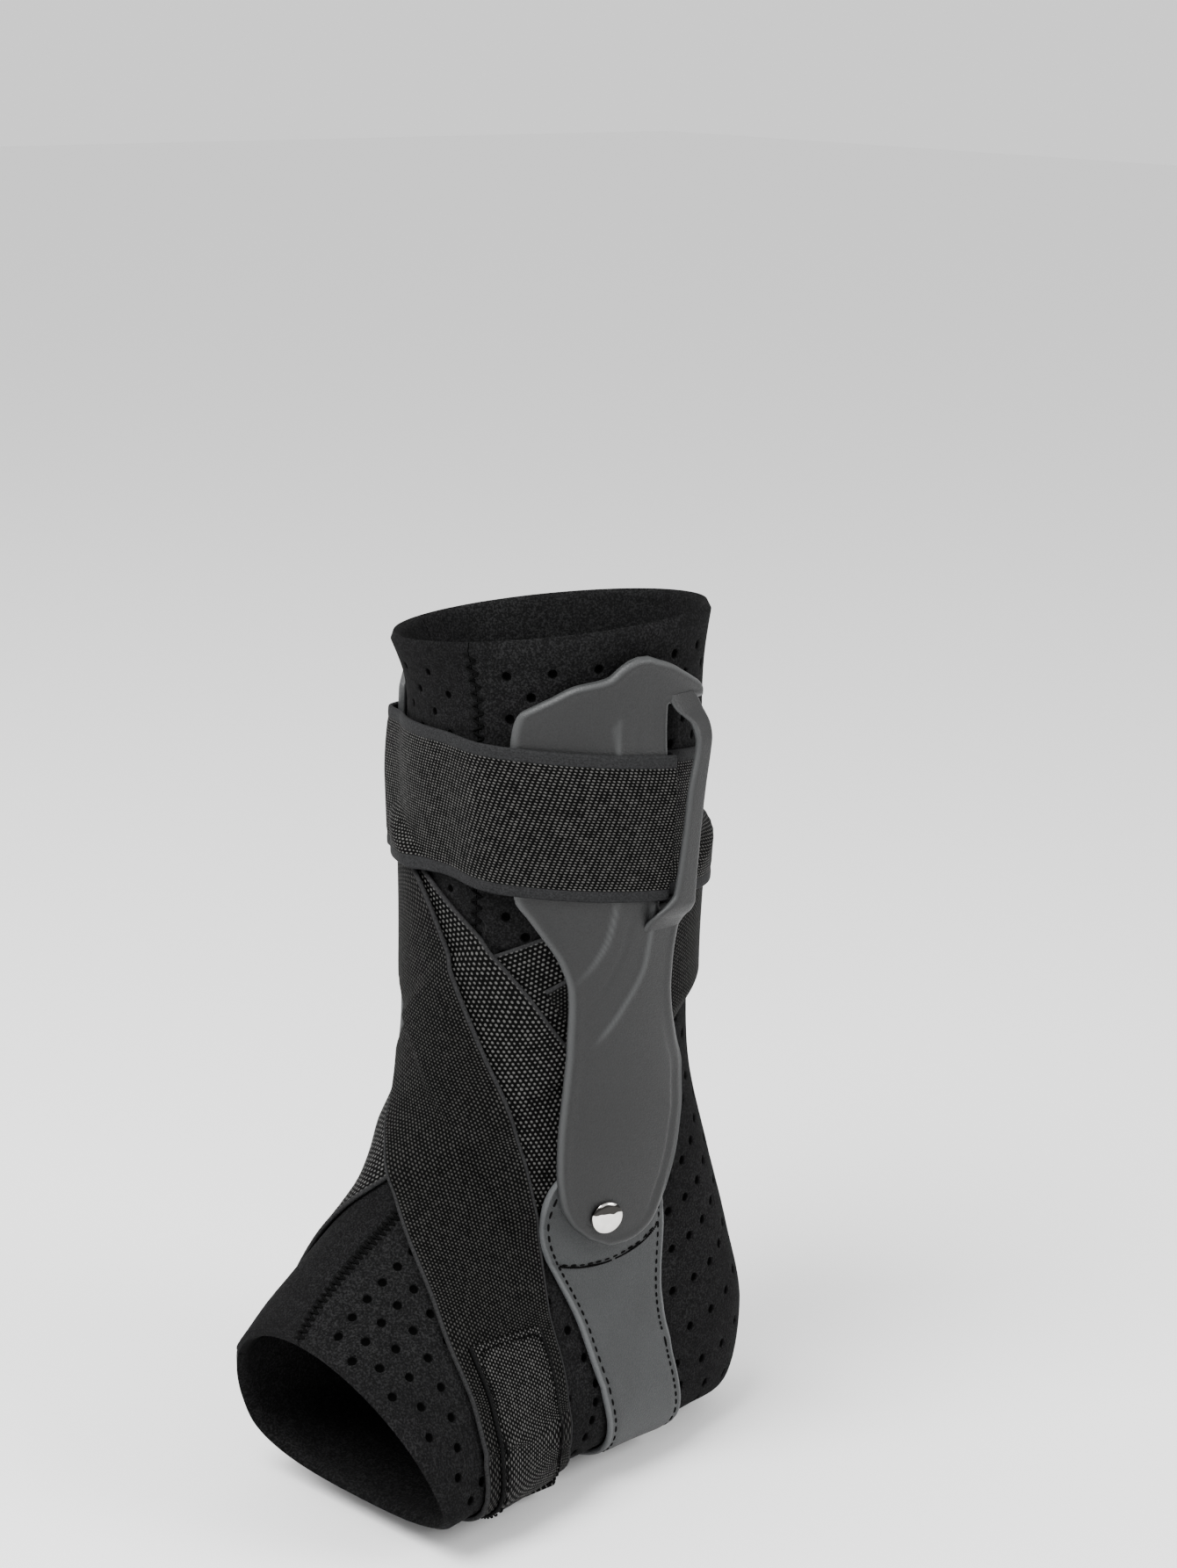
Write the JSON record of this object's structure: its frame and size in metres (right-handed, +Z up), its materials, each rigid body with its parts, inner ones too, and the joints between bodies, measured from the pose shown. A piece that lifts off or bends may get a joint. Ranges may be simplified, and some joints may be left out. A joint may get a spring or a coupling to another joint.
{
  "type": "ankle support wrap",
  "caption": "Ankle support wrap: perforated knit sleeve with crossed elastic straps, an upper strap, moulded side splints and a leather stirrup under the heel",
  "frame": {"origin": "midway between the two rivets, inside the sleeve where the ankle sits", "axes": "+Z up the shaft, -Y towards the toe opening, +X towards the outer side"},
  "size_m": [0.1056, 0.168, 0.2538],
  "materials": {
    "sleeve": "matte thick knit with rows of blind perforations",
    "panel": "matte smooth knit",
    "leather": "satin grained grey synthetic leather, stitched along its edges",
    "webbing": "matte ribbed elastic webbing",
    "patch": "matte fine woven webbing, stitched round its edge",
    "splint": "satin moulded plastic",
    "steel": "polished domed steel"
  },
  "bodies": {
    "root": {"sleeve": "sleeve", "front_panel": "panel", "stirrup": "leather", "inner_cross_strap": "webbing", "outer_cross_strap": "webbing", "strap_end_patch": "patch", "sole_patch": "patch", "upper_strap": "webbing", "splint_lateral": "splint", "rivet_lateral": "steel", "splint_medial": "splint", "rivet_medial": "steel"}
  },
  "joints": []
}
